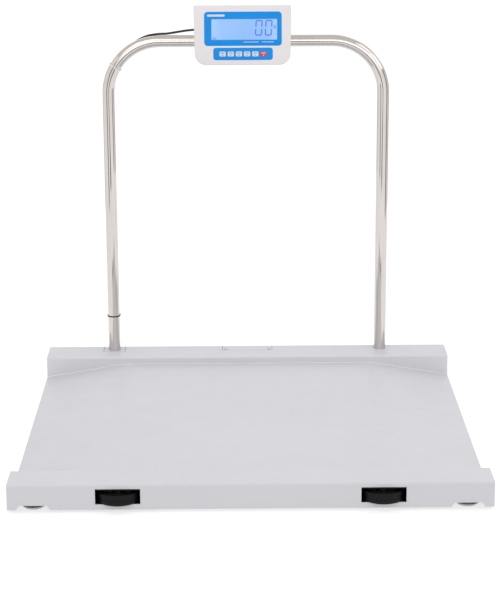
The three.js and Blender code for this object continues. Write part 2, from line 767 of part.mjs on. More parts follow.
function clampFront() {
  const halfBlock = cut(...clampHalf(CLAMP_FRONT_Y, POST_Y - GAP));
  const ears = [
    clampEar(INDICATOR_X - EAR_OUTER, INDICATOR_X - EAR_INNER),
    clampEar(INDICATOR_X + EAR_INNER, INDICATOR_X + EAR_OUTER),
  ];
  const pinHole = rodX(PIN_RADIUS + FIT, INDICATOR_X - 30, INDICATOR_X + 30, PIVOT_Y, PIVOT_Z, 20);
  return cut(join(halfBlock, ...ears), pinHole);
}

function clampBolt(way) {
  const z = RAIL_HEIGHT + way * CLAMP_BOLT_Z;
  const head = rodY(CLAMP_BOLT_HEAD, CLAMP_REAR_Y + GAP, CLAMP_REAR_Y + 5, INDICATOR_X, z, 16);
  const shank = rodY(CLAMP_BOLT_RADIUS, CLAMP_FRONT_Y + 3, CLAMP_REAR_Y + 1, INDICATOR_X, z, 16);
  return join(head, shank);
}

function tiltPin() {
  const [left, right] = [INDICATOR_X - EAR_OUTER, INDICATOR_X + EAR_OUTER];
  const head = rodX(PIN_RADIUS + 2, left - 4, left - GAP, PIVOT_Y, PIVOT_Z, 6);
  const shank = rodX(PIN_RADIUS, left - 1, right + 12, PIVOT_Y, PIVOT_Z, 20);
  return join(head, shank);
}

function tiltKnob() {
  const [lobes, points] = [5, 30];
  const outline = Array.from({ length: points }, (_, i) => {
    const angle = (2 * Math.PI * i) / points;
    const radius = EAR_RADIUS + Math.cos(lobes * angle);
    return [PIVOT_Y + radius * Math.cos(angle), PIVOT_Z + radius * Math.sin(angle)];
  });
  const x0 = INDICATOR_X + EAR_OUTER + GAP;
  const bore = rodX(PIN_RADIUS + FIT, x0 - OVERCUT, x0 + 12, PIVOT_Y, PIVOT_Z, 20);
  return cut(prismX(polygon(outline), x0, x0 + 14), bore);
}

function addClamp(group) {
  addMesh(group, 'clamp_front', clampFront(), 'aluminium');
  addMesh(group, 'clamp_rear', cut(...clampHalf(POST_Y + GAP, CLAMP_REAR_Y)), 'aluminium');
  addMesh(group, 'clamp_bolt_upper', clampBolt(1), 'zinc');
  addMesh(group, 'clamp_bolt_lower', clampBolt(-1), 'zinc');
  addMesh(group, 'tilt_pin', tiltPin(), 'zinc');
  addMesh(group, 'tilt_knob', tiltKnob(), 'darkPlastic');
}

// Indicator, in its own frame: the face is the plane Y = 0, its normal is -Y, its middle the origin.
const DISPLAY = { x0: -100.4, x1: 102.6, z0: -27.6, z1: 60.9, corner: 9 };
const LCD = { x0: -82, x1: 91, z0: -12.4, z1: 42.4 };
const KEYPAD = { x0: -77, x1: 79, z0: -64.6, z1: -32.4, corner: 7 };
const KEY_ROW = { first: -52.5, z: -48.6 };
const BOARD = { x0: -95, x1: 95, y: 14, z0: -62, z1: 60 };
const BATTERY = { x0: 26, x1: 94, y0: 20, y1: 40, z0: -58, z1: -14 };
const DOOR = { x0: 20, x1: 100, z0: -60, z1: -12, thickness: 2.6 };
const GLAND = { x: TAIL_KNOTS[0][0] - INDICATOR_X, z: 11.2, flange: 8, neck: 5 };
const INLET = { x: GLAND.x, z: GLAND.z - 34, flange: 6, barrel: 4 };

function housingOutline(inset) {
  const top = HOUSING_HEIGHT / 2 - inset;
  const half = HOUSING_WIDTH / 2 - inset;
  const low = half - HOUSING_TAPER;
  const [r, s] = [HOUSING_CORNER - inset, Math.max(HOUSING_TOP_CORNER - inset, 1)];
  const shape = new THREE.Shape();
  shape.moveTo(-low + r, -top);
  shape.lineTo(low - r, -top);
  shape.absarc(low - r, -top + r, r, -Math.PI / 2, 0);
  shape.lineTo(half, top - s);
  shape.absarc(half - s, top - s, s, 0, Math.PI / 2);
  shape.lineTo(-half + s, top);
  shape.absarc(-half + s, top - s, s, Math.PI / 2, Math.PI);
  shape.lineTo(-low, -top + r);
  shape.absarc(-low + r, -top + r, r, Math.PI, 1.5 * Math.PI);
  return shape;
}

function housingBody() {
  const bevel = 2.5;
  const outer = new THREE.ExtrudeGeometry(housingOutline(bevel), {
    depth: HOUSING_DEPTH - 2 * bevel,
    bevelEnabled: true,
    bevelThickness: bevel,
    bevelSize: bevel,
    bevelSegments: 2,
    curveSegments: 4,
  }).rotateX(Math.PI / 2).translate(0, HOUSING_DEPTH - bevel, 0);
  const cavity = prismY(housingOutline(HOUSING_WALL), HOUSING_WALL, HOUSING_DEPTH - HOUSING_WALL, 6);
  return cut(outer, cavity);
}

function keyX(i) {
  return KEY_ROW.first + i * KEY_PITCH;
}

function keyOutline(i, margin) {
  return roundedRectangle(
    keyX(i) - KEY_WIDTH / 2 - margin,
    keyX(i) + KEY_WIDTH / 2 + margin,
    KEY_ROW.z - KEY_HEIGHT / 2 - margin,
    KEY_ROW.z + KEY_HEIGHT / 2 + margin,
    2,
  );
}

// Everything in the housing between two depths.
function housingSlice(y0, y1) {
  return block(-HOUSING_WIDTH, HOUSING_WIDTH, y0, y1, -HOUSING_HEIGHT, HOUSING_HEIGHT);
}

function housingFront(body) {
  const slice = housingSlice(-OVERCUT, HOUSING_SPLIT);
  const recesses = [DISPLAY, KEYPAD].map((p) => prismY(
    roundedRectangle(p.x0 - GAP, p.x1 + GAP, p.z0 - GAP, p.z1 + GAP, p.corner),
    -OVERCUT,
    PANEL_DEPTH,
  ));
  const window = block(LCD.x0, LCD.x1, -OVERCUT, DRILL, LCD.z0, LCD.z1);
  const keyHoles = Array.from({ length: KEY_COUNT }, (_, i) => (
    prismY(keyOutline(i, 0.5), -OVERCUT, DRILL, 2)
  ));
  return cut(common(body, slice), ...recesses, window, ...keyHoles);
}

function housingRear(body) {
  const [y0, y1] = [HOUSING_DEPTH - DRILL, HOUSING_DEPTH + OVERCUT];
  const slice = housingSlice(HOUSING_SPLIT + GAP, y1);
  const doorway = block(DOOR.x0, DOOR.x1, y0, y1, DOOR.z0, DOOR.z1);
  const glandHole = rodY(GLAND.neck + FIT, y0, y1, GLAND.x, GLAND.z, 12);
  const powerHole = rodY(INLET.barrel + FIT, y0, y1, INLET.x, INLET.z, 12);
  return cut(common(body, slice), doorway, glandHole, powerHole);
}

function displayPanel() {
  const shape = roundedRectangle(DISPLAY.x0, DISPLAY.x1, DISPLAY.z0, DISPLAY.z1, DISPLAY.corner);
  shape.holes.push(roundedRectangle(LCD.x0, LCD.x1, LCD.z0, LCD.z1, 1));
  return prismY(shape, 0, PANEL_DEPTH - GAP);
}

function keypadPanel() {
  const shape = roundedRectangle(KEYPAD.x0, KEYPAD.x1, KEYPAD.z0, KEYPAD.z1, KEYPAD.corner);
  for (let i = 0; i < KEY_COUNT; i += 1) shape.holes.push(keyOutline(i, GAP));
  return prismY(shape, 0, PANEL_DEPTH - GAP, 2);
}

function cableGland() {
  const { x, z } = GLAND;
  const flange = rodY(GLAND.flange, HOUSING_DEPTH + GAP, HOUSING_DEPTH + 4, x, z, 6);
  const neck = rodY(GLAND.neck, HOUSING_DEPTH - 4, HOUSING_DEPTH + 10, x, z, 12);
  return cut(join(flange, neck), rodY(CABLE_RADIUS + GAP, HOUSING_DEPTH + 6, HOUSING_DEPTH + 11, x, z, 16));
}

function powerInlet() {
  const { x, z } = INLET;
  const flange = rodY(INLET.flange, HOUSING_DEPTH + GAP, HOUSING_DEPTH + 1.5, x, z, 12);
  const barrel = rodY(INLET.barrel, HOUSING_DEPTH - 9, HOUSING_DEPTH + 1, x, z, 12);
  const mouth = rodY(INLET.barrel - 1.2, HOUSING_DEPTH - 6, HOUSING_DEPTH + 2, x, z, 12);
  return cut(join(flange, barrel), mouth);
}

// A plate screwed to the housing's back, with the tongue that turns on the tilt pin.
function tiltLug(pivot) {
  const plate = prismY(roundedRectangle(-34, 34, pivot.z - 24, pivot.z + 24, 5),
    HOUSING_DEPTH + GAP, HOUSING_DEPTH + 3);
  const outline = new THREE.Shape();
  outline.moveTo(HOUSING_DEPTH + 2, pivot.z + TONGUE_RADIUS);
  outline.lineTo(HOUSING_DEPTH + 2, pivot.z - TONGUE_RADIUS);
  outline.lineTo(pivot.y, pivot.z - TONGUE_RADIUS);
  outline.absarc(pivot.y, pivot.z, TONGUE_RADIUS, -Math.PI / 2, Math.PI / 2);
  const tongue = prismX(outline, -EAR_INNER + 2 * GAP, EAR_INNER - 2 * GAP, 10);
  return cut(join(plate, tongue), rodX(PIN_RADIUS + FIT, -EAR_INNER, EAR_INNER, pivot.y, pivot.z, 20));
}

function addIndicator(group) {
  const body = housingBody();
  addMesh(group, 'housing_front', housingFront(body), 'housing');
  addMesh(group, 'housing_rear', housingRear(body), 'housing');
  addMesh(group, 'display_panel', displayPanel(), 'panelBlue');
  addMesh(group, 'keypad_panel', keypadPanel(), 'panelBlue');
  const lcdFront = HOUSING_WALL + GAP;
  const lcdModule = block(
    LCD.x0 - LCD_MARGIN,
    LCD.x1 + LCD_MARGIN,
    lcdFront,
    lcdFront + LCD_THICKNESS,
    LCD.z0 - LCD_MARGIN,
    LCD.z1 + LCD_MARGIN,
  );
  addMesh(group, 'lcd_module', lcdModule, 'display');
  for (let i = 0; i < KEY_COUNT; i += 1) {
    const finish = i === KEY_COUNT - 1 ? 'keyRed' : 'keyWhite';
    addMesh(group, `key_${i + 1}`, prismY(keyOutline(i, 0), -KEY_PROUD, KEY_BACK, 2), finish);
  }
  const board = block(BOARD.x0, BOARD.x1, BOARD.y, BOARD.y + BOARD_THICKNESS, BOARD.z0, BOARD.z1);
  const battery = block(BATTERY.x0, BATTERY.x1, BATTERY.y0, BATTERY.y1, BATTERY.z0, BATTERY.z1);
  const door = block(
    DOOR.x0 + GAP,
    DOOR.x1 - GAP,
    HOUSING_DEPTH - DOOR.thickness,
    HOUSING_DEPTH,
    DOOR.z0 + GAP,
    DOOR.z1 - GAP,
  );
  addMesh(group, 'circuit_board', board, 'board');
  addMesh(group, 'battery_pack', battery, 'battery');
  addMesh(group, 'battery_door', door, 'housing');
  addMesh(group, 'cable_gland', cableGland(), 'darkPlastic');
  addMesh(group, 'power_inlet', powerInlet(), 'darkPlastic');
  group.updateMatrixWorld(true);
  const pivot = group.worldToLocal(new THREE.Vector3(INDICATOR_X, PIVOT_Y, PIVOT_Z));
  addMesh(group, 'tilt_lug', tiltLug(pivot), 'zinc');
}

const scale = new THREE.Group();
addPlatform(scale);
addJunctionBox(scale);
addSupports(scale);
addWheels(scale);
addHandrail(scale);
addCable(scale);
addClamp(scale);

const indicator = new THREE.Group();
indicator.position.set(INDICATOR_X, INDICATOR_Y, INDICATOR_Z);
indicator.rotation.x = -THREE.MathUtils.degToRad(TILT);
scale.add(indicator);
addIndicator(indicator);
addMesh(scale, 'cable_tail', tailCable(), 'rubber');

export default scale;
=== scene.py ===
"""Looks for the drive-through animal scale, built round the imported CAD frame. Metres, +Z up."""

import math

import bmesh
import bpy
from mathutils import Matrix, Vector


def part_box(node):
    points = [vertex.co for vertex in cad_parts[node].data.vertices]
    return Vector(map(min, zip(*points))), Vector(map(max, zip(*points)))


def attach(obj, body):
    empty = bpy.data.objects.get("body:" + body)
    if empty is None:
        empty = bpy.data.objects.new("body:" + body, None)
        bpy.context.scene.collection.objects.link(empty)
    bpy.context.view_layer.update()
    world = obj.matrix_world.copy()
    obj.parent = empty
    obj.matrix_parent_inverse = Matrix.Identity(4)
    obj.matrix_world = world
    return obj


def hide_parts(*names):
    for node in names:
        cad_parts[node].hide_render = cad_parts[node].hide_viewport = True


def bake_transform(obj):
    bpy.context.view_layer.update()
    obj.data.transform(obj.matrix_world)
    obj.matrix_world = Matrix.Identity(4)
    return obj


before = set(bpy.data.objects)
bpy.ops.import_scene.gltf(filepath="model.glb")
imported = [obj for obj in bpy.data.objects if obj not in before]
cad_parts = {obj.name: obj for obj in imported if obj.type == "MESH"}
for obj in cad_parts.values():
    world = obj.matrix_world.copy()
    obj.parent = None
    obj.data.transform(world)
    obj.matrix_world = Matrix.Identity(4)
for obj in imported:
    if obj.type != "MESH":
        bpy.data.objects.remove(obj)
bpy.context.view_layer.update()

MM = 0.001
PI = math.pi
ROOT = "platform"
SIDES = (("left", -1), ("right", 1))
CORNERS = ("front_left", "front_right", "rear_left", "rear_right")

# Sizes that the new pieces share with the CAD.
RAIL_RADIUS = 0.016
CABLE_RADIUS = 0.003
CABLE_OFFSET = 0.0199
RAIL_BEND = 0.140
POST_X = 0.3685
POST_Y = 0.517
RAIL_HEIGHT = 0.922
SHEET = 0.003
DECK_FLAT = 0.340
DECK_CREASE = 0.022
TILT = math.radians(8)
FACE_CENTRE = Vector((-0.0085, 0.428, 0.9486))
INDICATOR_FRAME = Matrix.Translation(FACE_CENTRE) @ Matrix.Rotation(-TILT, 4, "X") @ Matrix.Scale(MM, 4)
HOUSING_WIDTH, HOUSING_HEIGHT, HOUSING_DEPTH = 256, 155, 46
HOUSING_CORNER = 30
HOUSING_TAPER, HOUSING_SPLIT, HOUSING_WALL = 2.5, 22, 3
DISPLAY = dict(x0=-100.4, x1=102.6, z0=-27.6, z1=60.9)
LCD = dict(x0=-82, x1=91, z0=-12.4, z1=42.4)
KEYPAD = dict(x0=-77, x1=79, z0=-64.6, z1=-32.4)
KEY_FIRST, KEY_PITCH, KEY_Z, KEY_WIDTH, KEY_HEIGHT = -52.5, 21.4, -48.6, 16.7, 13.2
DOOR = dict(x0=20, x1=100, z0=-60, z1=-12)
GLAND_X, GLAND_Z, INLET_DROP = -91.5, 11.2, 34


# ---------------------------------------------------------------- camera
def make_camera():
    """The camera fitted to the photo's platform corners, posts and crossbar."""
    pitch, yaw, roll = (math.radians(angle) for angle in (15.349, -0.477, -0.262))
    data = bpy.data.cameras.new("camera")
    data.lens = 114.16
    data.sensor_width = 36
    camera = bpy.data.objects.new("camera", data)
    bpy.context.scene.collection.objects.link(camera)
    aim = Matrix.Rotation(yaw, 4, "Z") @ Matrix.Rotation(PI / 2 - pitch, 4, "X")
    turn = aim @ Matrix.Rotation(roll, 4, "Z")
    camera.matrix_world = Matrix.Translation((-0.0316, -4.4691, 1.5883)) @ turn
    bpy.context.scene.camera = camera


# ---------------------------------------------------------------- materials
def tone(red, green, blue):
    """A colour as the eye sees it, 0 to 255, in the shader's linear numbers."""
    linear = [c / 255 / 12.92 if c <= 10 else ((c / 255 + 0.055) / 1.055) ** 2.4 for c in (red, green, blue)]
    return (*linear, 1)


def scaled(colour, share):
    return (*[c * share for c in colour[:3]], 1)


class Graph:
    """A material's node tree with short calls for the nodes used here."""

    def __init__(self, name):
        self.material = bpy.data.materials.new(name)
        self.material.use_nodes = True
        self.nodes = self.material.node_tree.nodes
        self.links = self.material.node_tree.links
        self.shader = self.nodes["Principled BSDF"]
        self.place = self.nodes.new("ShaderNodeTexCoord").outputs["Object"]

    def link(self, source, target):
        self.links.new(source, target)

    def mapped(self, scale):
        node = self.nodes.new("ShaderNodeMapping")
        node.inputs["Scale"].default_value = scale
        self.link(self.place, node.inputs["Vector"])
        return node.outputs["Vector"]

    def noise(self, scale, detail=3, rough=0.5, vector=None):
        node = self.nodes.new("ShaderNodeTexNoise")
        node.inputs["Scale"].default_value = scale
        node.inputs["Detail"].default_value = detail
        node.inputs["Roughness"].default_value = rough
        self.link(vector or self.place, node.inputs["Vector"])
        return node.outputs["Fac"]

    def cells(self, scale, feature="F1"):
        node = self.nodes.new("ShaderNodeTexVoronoi")
        node.feature = feature
        node.inputs["Scale"].default_value = scale
        self.link(self.place, node.inputs["Vector"])
        return node.outputs["Distance"]

    def ramp(self, value, stops):
        node = self.nodes.new("ShaderNodeValToRGB")
        ends = node.color_ramp.elements
        while len(ends) < len(stops):
            ends.new(0.5)
        for end, (position, colour) in zip(ends, stops):
            end.position = position
            end.color = colour
        self.link(value, node.inputs["Fac"])
        return node.outputs["Color"]

    def span(self, value, low, high):
        node = self.nodes.new("ShaderNodeMapRange")
        node.inputs["From Min"].default_value = 0.3
        node.inputs["From Max"].default_value = 0.7
        node.inputs["To Min"].default_value = low
        node.inputs["To Max"].default_value = high
        self.link(value, node.inputs["Value"])
        return node.outputs["Result"]

    def mix(self, share, first, second):
        node = self.nodes.new("ShaderNodeMix")
        node.data_type = "RGBA"
        self.link(share, node.inputs["Factor"])
        self.link(first, node.inputs[6])
        self.link(second, node.inputs[7])
        return node.outputs[2]

    def bump(self, height, strength, distance, under=None):
        node = self.nodes.new("ShaderNodeBump")
        node.inputs["Strength"].default_value = strength
        node.inputs["Distance"].default_value = distance
        self.link(height, node.inputs["Height"])
        if under is not None:
            self.link(under, node.inputs["Normal"])
        return node.outputs["Normal"]


def coated(name, colour, rough, spread=0.03, cloud=6, grain=900, grain_height=0.00004, metal=0.0,
           specular=0.5, worn=None):
    """A finish with soft clouding, a fine grained surface, and thin scuffs where it is worn."""
    g = Graph(name)
    shade = g.ramp(g.noise(cloud, 4), [(0.3, scaled(colour, 1 - spread)), (0.7, scaled(colour, 1 + spread))])
    if worn is not None:
        streaks = g.noise(60, 5, 0.6, g.mapped((1, 0.12, 1)))
        scuff = g.ramp(streaks, [(0.66, (0, 0, 0, 1)), (0.74, (1, 1, 1, 1))])
        faint = g.ramp(scuff, [(0, (0, 0, 0, 1)), (1, (0.35, 0.35, 0.35, 1))])
        rubbed = g.ramp(g.noise(cloud * 2, 2), [(0.3, worn), (0.7, scaled(worn, 1.06))])
        shade = g.mix(faint, shade, rubbed)
    g.link(shade, g.shader.inputs["Base Color"])
    g.link(g.span(g.noise(cloud * 6, 4), max(rough - 0.06, 0.02), rough + 0.06), g.shader.inputs["Roughness"])
    soft = g.bump(g.noise(grain, 2), 0.35, grain_height)
    g.link(g.bump(g.noise(cloud * 5, 2), 0.12, 0.0006, soft), g.shader.inputs["Normal"])
    g.shader.inputs["Metallic"].default_value = metal
    g.shader.inputs["Specular IOR Level"].default_value = specular
    return g.material


def enamel():
    """Pale grey powder coat: an orange-peel skin with dust-fine scuffs on what is walked over."""
    return coated("enamel", tone(196, 195, 200), 0.42, spread=0.012, cloud=3, grain=420,
                  grain_height=0.00006, worn=tone(188, 187, 192))


def polished_steel():
    """Tube polished round its length, slightly warm, with drawn streaks along it."""
    g = Graph("polished_steel")
    along = g.noise(140, 5, 0.6, g.mapped((1, 1, 0.03)))
    around = g.noise(160, 4, 0.6, g.mapped((0.03, 1, 1)))
    tint = g.ramp(g.noise(9, 4), [(0.3, tone(209, 201, 196)), (0.7, tone(216, 211, 208))])
    dull = g.ramp(along, [(0.35, tone(202, 195, 191)), (0.65, tone(218, 214, 212))])
    soft = g.ramp(around, [(0.2, (0.25, 0.25, 0.25, 1)), (0.8, (0.55, 0.55, 0.55, 1))])
    g.link(g.mix(soft, tint, dull), g.shader.inputs["Base Color"])
    g.link(g.span(along, 0.04, 0.09), g.shader.inputs["Roughness"])
    g.link(g.bump(along, 0.04, 0.00006), g.shader.inputs["Normal"])
    g.shader.inputs["Metallic"].default_value = 1.0
    return g.material


def plated_steel():
    return coated("plated_steel", tone(190, 191, 194), 0.3, spread=0.08, cloud=30, grain=1200, metal=1.0)


def dark_plate():
    return coated("dark_plate", tone(112, 114, 118), 0.28, spread=0.15, cloud=40, grain=900, metal=1.0)


def aluminium():
    return coated("aluminium", tone(200, 201, 204), 0.36, spread=0.05, cloud=20, grain=1500, metal=1.0)


# Near-black for the wheel brackets, which keeps the beam windows dark all round each wheel.
def wheel_bracket_black():
    return coated("wheel_bracket_black", tone(20, 20, 22), 0.5, spread=0.2, cloud=20, grain=600)


def tyre_rubber():
    return coated("tyre_rubber", tone(9, 9, 11), 0.5, spread=0.25, cloud=25, grain=700, grain_height=0.0001,
                  specular=0.18)


def black_plastic():
    return coated("black_plastic", tone(32, 32, 36), 0.42, spread=0.15, cloud=30, grain=1500)


def cable_sheath():
    return coated("cable_sheath", tone(17, 17, 19), 0.38, spread=0.25, cloud=40, grain=2000)


def clear_nylon():
    material = coated("clear_nylon", tone(238, 238, 236), 0.3, spread=0.03, cloud=60, grain=1500)
    shader = material.node_tree.nodes["Principled BSDF"]
    shader.inputs["Transmission Weight"].default_value = 0.35
    return material


def housing_plastic():
    """Light grey moulding with a fine spark-eroded texture."""
    return coated("housing_plastic", tone(214, 209, 211), 0.52, spread=0.012, cloud=14, grain=1800,
                  grain_height=0.00007)


def overlay(name, colour):
    """Printed polyester film, satin over the ink."""
    return coated(name, colour, 0.34, spread=0.025, cloud=18, grain=2500, grain_height=0.00002, specular=0.1)


def display_glass():
    """Backlit liquid crystal: paler towards its left end and its edges."""
    g = Graph("display_glass")
    middle = FACE_CENTRE.x + (LCD["x0"] + LCD["x1"]) / 2 * MM
    split = g.nodes.new("ShaderNodeSeparateXYZ")
    g.link(g.place, split.inputs[0])
    across = g.nodes.new("ShaderNodeMapRange")
    across.inputs["From Min"].default_value = middle - 0.09
    across.inputs["From Max"].default_value = middle + 0.09
    g.link(split.outputs["X"], across.inputs["Value"])
    glow = g.ramp(across.outputs["Result"], [
        (0.0, tone(156, 193, 236)), (0.18, tone(136, 177, 228)), (0.5, tone(127, 170, 223)),
        (0.85, tone(134, 176, 229)), (1.0, tone(160, 196, 238))])
    cloud = g.ramp(g.noise(25, 3), [(0.3, tone(128, 171, 224)), (0.7, tone(142, 183, 232))])
    light = g.nodes.new("ShaderNodeMix")
    light.data_type = "RGBA"
    light.inputs["Factor"].default_value = 0.3
    g.link(glow, light.inputs[6])
    g.link(cloud, light.inputs[7])
    g.link(light.outputs[2], g.shader.inputs["Base Color"])
    g.link(light.outputs[2], g.shader.inputs["Emission Color"])
    g.shader.inputs["Emission Strength"].default_value = 0.1
    g.link(g.span(g.noise(300, 2), 0.12, 0.2), g.shader.inputs["Roughness"])
    g.shader.inputs["Specular IOR Level"].default_value = 0.3
    return g.material


def printed(name, colour, rough=0.45):
    return coated(name, colour, rough, spread=0.04, cloud=50, grain=2500, grain_height=0.00002, specular=0.3)


def circuit_green():
    """Solder mask with a faint grid of tracks."""
    g = Graph("circuit_green")
    tracks = g.cells(260, "DISTANCE_TO_EDGE")
    mask = g.ramp(tracks, [(0.04, tone(60, 130, 84)), (0.1, tone(22, 84, 48))])
    g.link(mask, g.shader.inputs["Base Color"])
    g.link(g.span(g.noise(90), 0.3, 0.45), g.shader.inputs["Roughness"])
    g.link(g.bump(tracks, 0.3, 0.0001), g.shader.inputs["Normal"])
    return g.material


# ---------------------------------------------------------------- mesh making
def finished(bm, name, material, frame_of=None, body=ROOT, stands_for=(), sharp=32):
    """Turns a bmesh into a piece of the object that rides on a body."""
    bmesh.ops.remove_doubles(bm, verts=bm.verts, dist=1e-7)
    bmesh.ops.recalc_face_normals(bm, faces=bm.faces)
    mesh = bpy.data.meshes.new(name)
    bm.to_mesh(mesh)
    bm.free()
    if frame_of is not None:
        mesh.transform(frame_of)
    for face in mesh.polygons:
        face.use_smooth = True
    mesh.set_sharp_from_angle(angle=math.radians(sharp))
    mesh.materials.append(material)
    piece = bpy.data.objects.new(name, mesh)
    bpy.context.scene.collection.objects.link(piece)
    if stands_for:
        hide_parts(*stands_for)
    if body:
        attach(piece, body)
    return piece


def skin(bm, rings, closed=True):
    """Quads between rings of the same count of vertices."""
    count = len(rings[0])
    for lower, upper in zip(rings, rings[1:]):
        for i in range(count if closed else count - 1):
            j = (i + 1) % count
            bm.faces.new((lower[i], lower[j], upper[j], upper[i]))


def ring_of(bm, points):
    return [bm.verts.new(point) for point in points]


def fill(bm, *loops):
    """A flat face inside the first loop and outside the others."""
    edges = []
    for loop in loops:
        for first, second in zip(loop, loop[1:] + loop[:1]):
            edge = bm.edges.get((first, second)) or bm.edges.new((first, second))
            edges.append(edge)
    bmesh.ops.triangle_fill(bm, use_beauty=True, use_dissolve=False, edges=edges)


def arc(centre, radius, start, end, count):
    step = (end - start) / count
    return [(centre[0] + radius * math.cos(math.radians(start + i * step)),
             centre[1] + radius * math.sin(math.radians(start + i * step))) for i in range(count + 1)]


def rounded(x0, x1, z0, z1, radius, count=6):
    return (arc((x0 + radius, z0 + radius), radius, 180, 270, count)
            + arc((x1 - radius, z0 + radius), radius, 270, 360, count)
            + arc((x1 - radius, z1 - radius), radius, 0, 90, count)
            + arc((x0 + radius, z1 - radius), radius, 90, 180, count))


def circle(x, z, radius, count=24):
    return arc((x, z), radius, 0, 360 * (count - 1) / count, count - 1)


def revolve(bm, profile, centre, sides=64):
    """A turned body about an upright axis, from (radius, height) pairs."""
    rings = []
    for radius, height in profile:
        if radius == 0:
            rings.append([bm.verts.new((centre[0], centre[1], height))])
            continue
        rings.append(ring_of(bm, [(centre[0] + radius * math.cos(2 * PI * i / sides),
                                   centre[1] + radius * math.sin(2 * PI * i / sides), height)
                                  for i in range(sides)]))
    for lower, upper in zip(rings, rings[1:]):
        for i in range(sides):
            j = (i + 1) % sides
            if len(lower) == 1:
                bm.faces.new((lower[0], upper[j], upper[i]))
            elif len(upper) == 1:
                bm.faces.new((lower[i], lower[j], upper[0]))
            else:
                bm.faces.new((lower[i], lower[j], upper[j], upper[i]))


def prism(bm, outline, y0, y1, edge=0.0, holes=()):
    """A plate between two depths in the indicator's frame, its front edge rounded, with holes through it."""
    middle = Vector((sum(p[0] for p in outline), sum(p[1] for p in outline))) / len(outline)

    def drawn_in(inset):
        points = []
        for x, z in outline:
            away = Vector((x, z)) - middle
            points.append((x - math.copysign(min(inset, abs(away.x)), away.x),
                           z - math.copysign(min(inset, abs(away.y)), away.y)))
        return points

    levels = [(edge, y0), (edge * 0.3, y0 + edge * 0.3), (0, y0 + edge)] if edge else [(0, y0)]
    levels.append((0, y1))
    rings = [ring_of(bm, [(x, y, z) for x, z in drawn_in(inset)]) for inset, y in levels]
    skin(bm, rings)
    front = [ring_of(bm, [(x, y0, z) for x, z in hole]) for hole in holes]
    back = [ring_of(bm, [(x, y1, z) for x, z in hole]) for hole in holes]
    for near, far in zip(front, back):
        skin(bm, [near, far])
    fill(bm, rings[0], *front)
    fill(bm, rings[-1], *back)


def tube(bm, points, radius, sides=16):
    """A round tube through points, its rings turned as little as possible along the way."""
    points = [Vector(p) for p in points]
    ahead = (points[1] - points[0]).normalized()
    side = ahead.cross(Vector((0, 1, 0)) if abs(ahead.y) < 0.9 else Vector((1, 0, 0))).normalized()
    rings = []
    for i, point in enumerate(points):
        before = points[max(i - 1, 0)]
        after = points[min(i + 1, len(points) - 1)]
        ahead = (after - before).normalized()
        side = (side - ahead * side.dot(ahead)).normalized()
        across = ahead.cross(side)
        rings.append(ring_of(bm, [point + radius * (math.cos(2 * PI * k / sides) * side
                                                    + math.sin(2 * PI * k / sides) * across)
                                  for k in range(sides)]))
    skin(bm, rings)
    bm.faces.new(list(reversed(rings[0])))
    bm.faces.new(rings[-1])


def smooth_route(points, steps):
    """A Catmull-Rom curve through given points."""
    points = [Vector(p) for p in points]
    padded = [points[0] * 2 - points[1], *points, points[-1] * 2 - points[-2]]
    route = []
    for a, b, c, d in zip(padded, padded[1:], padded[2:], padded[3:]):
        for i in range(steps):
            t = i / steps
            route.append(0.5 * (2 * b + (c - a) * t + (2 * a - 5 * b + 4 * c - d) * t * t
                                + (3 * b - a - 3 * c + d) * t ** 3))
    route.append(points[-1])
    return route


# ---------------------------------------------------------------- rail and cable
def bend_point(degrees, radius=RAIL_BEND, y=POST_Y, side=-1):
    """Beside a bend's centre: 0 degrees at the post, 90 at the crossbar."""
    angle = math.radians(degrees)
    across = POST_X - RAIL_BEND + radius * math.cos(angle)
    return Vector((side * across, y, RAIL_HEIGHT - RAIL_BEND + radius * math.sin(angle)))


def make_handrail(material):
    """The polished tube: up one post, round both bends, and down the other."""
    steps = 40
    left = [bend_point(90 * i / steps) for i in range(steps + 1)]
    right = [bend_point(90 * i / steps, side=1) for i in reversed(range(steps + 1))]
    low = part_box("handrail")[0][2]
    bm = bmesh.new()
    tube(bm, [(-POST_X, POST_Y, low), *left, *right, (POST_X, POST_Y, low)], RAIL_RADIUS, 64)
    finished(bm, "handrail_tube", material, stands_for=("handrail",))


def beside_rail(degrees, turn):
    """Where the cable's centre lies on a bend: turn is how far round the tube, 0 outside and 90 behind."""
    swing = math.radians(turn)
    radius = RAIL_BEND + CABLE_OFFSET * math.cos(swing)
    return bend_point(degrees, radius, POST_Y + CABLE_OFFSET * math.sin(swing))


def make_cable(material):
    """The indicator's lead, from the gland over the crossbar and down the post to the summing box."""
    tail = [(-100, 489.3, 951.4), (-100.5, 497, 951.8), (-104, 506.5, 952.2), (-111, 515.5, 952.3),
            (-122, 522.5, 952), (-135, 526, 951.2), (-148, 527.3, 949.9), (-160, 527.5, 948.6)]
    over = [(-178, 526.5, 946), (-196, 525.4, 943.3), (-212, 524.6, 941.2)]
    turns = [(88, 22), (78, 32), (68, 48), (58, 66), (48, 82), (38, 90), (26, 90), (13, 90), (0, 90)]
    drop = [(-368.5, 536.9, z) for z in (745, 690, 500, 300, 120)]
    inside = [(-368.5, 536.3, 64), (-367, 536.2, 57.5), (-362, 535.8, 52), (-353, 535, 48.5),
              (-340, 533.5, 46.5), (-300, 528, 44), (-200, 518, 41), (-110, 514.5, 38.5), (-80, 513.5, 38),
              (-48, 513.5, 38)]
    knots = [Vector(p) * MM for p in tail + over]
    knots += [beside_rail(*turn) for turn in turns]
    knots += [Vector(p) * MM for p in drop + inside]
    bm = bmesh.new()
    tube(bm, smooth_route(knots, 5), CABLE_RADIUS, 16)
    cable = finished(bm, "indicator_lead", material, body=None, stands_for=("indicator_cable", "cable_tail"))
    # The axis also climbs, so that the stretch inside the beam, which reaches as far across,
    # stays with the platform.
    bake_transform(cable)


